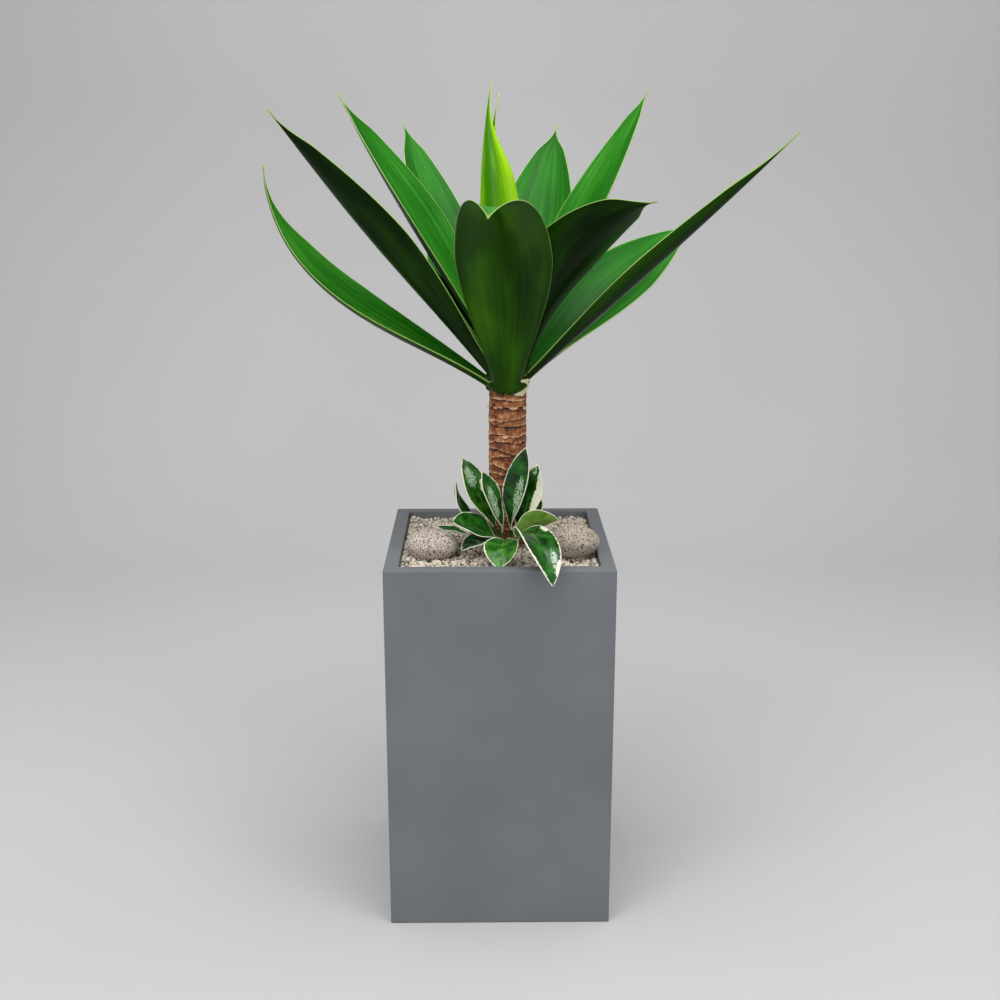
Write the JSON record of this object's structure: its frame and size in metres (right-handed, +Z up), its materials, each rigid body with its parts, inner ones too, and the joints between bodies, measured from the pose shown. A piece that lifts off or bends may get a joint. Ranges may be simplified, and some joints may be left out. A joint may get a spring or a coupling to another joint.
{
  "type": "potted agave",
  "caption": "Soft-leaved agave on a bare ringed stem, underplanted with a small variegated pothos, in a tall square planter topped with gravel and cobbles.",
  "frame": {"origin": "centre of the planter's square resting face, on the floor", "axes": "+Z up along the planter and stem, -Y towards the front face, +X to the viewer's right"},
  "size_m": [0.6858, 0.6679, 1.1112],
  "materials": {
    "planter": "matte moulded fibrestone",
    "soil": "loose damp potting soil",
    "gravel": "mixed granite chips",
    "pale_cobble": "pale pitted tumbled stone",
    "brown_cobble": "speckled tumbled stone",
    "stem": "flaking bark with leaf scars",
    "agave_leaf": "smooth waxy succulent leaf",
    "young_leaf": "smooth glossy young leaf",
    "creeper_leaf": "glossy variegated leaf",
    "petiole": "fleshy stem"
  },
  "bodies": {
    "root": {"planter": "planter", "potting_soil": "soil", "gravel_topping": "gravel", "cobble_left": "pale_cobble", "cobble_right": "brown_cobble", "agave_stem": "stem", "spear_leaf_outer": "young_leaf", "spear_leaf_inner": "young_leaf", "creeper_crown": "petiole", "leaf_low_left": "agave_leaf", "leaf_low_right": "agave_leaf", "leaf_back_right": "agave_leaf", "leaf_back": "agave_leaf", "leaf_front": "agave_leaf", "leaf_left": "agave_leaf", "leaf_front_right": "agave_leaf", "leaf_inner_left": "agave_leaf", "leaf_back_left": "agave_leaf", "leaf_upper_right": "agave_leaf", "leaf_upper_left": "agave_leaf", "leaf_upper_back": "agave_leaf", "creeper_leaf_tall": "creeper_leaf", "creeper_leaf_cream": "creeper_leaf", "creeper_leaf_behind": "creeper_leaf", "creeper_leaf_olive": "creeper_leaf", "creeper_leaf_trailing": "creeper_leaf", "creeper_leaf_heart": "creeper_leaf", "creeper_leaf_small_front": "creeper_leaf", "creeper_leaf_broad": "creeper_leaf", "creeper_leaf_narrow": "creeper_leaf", "creeper_leaf_far_left": "creeper_leaf", "creeper_leaf_back_left": "creeper_leaf", "creeper_leaf_folded": "creeper_leaf"}
  },
  "joints": []
}
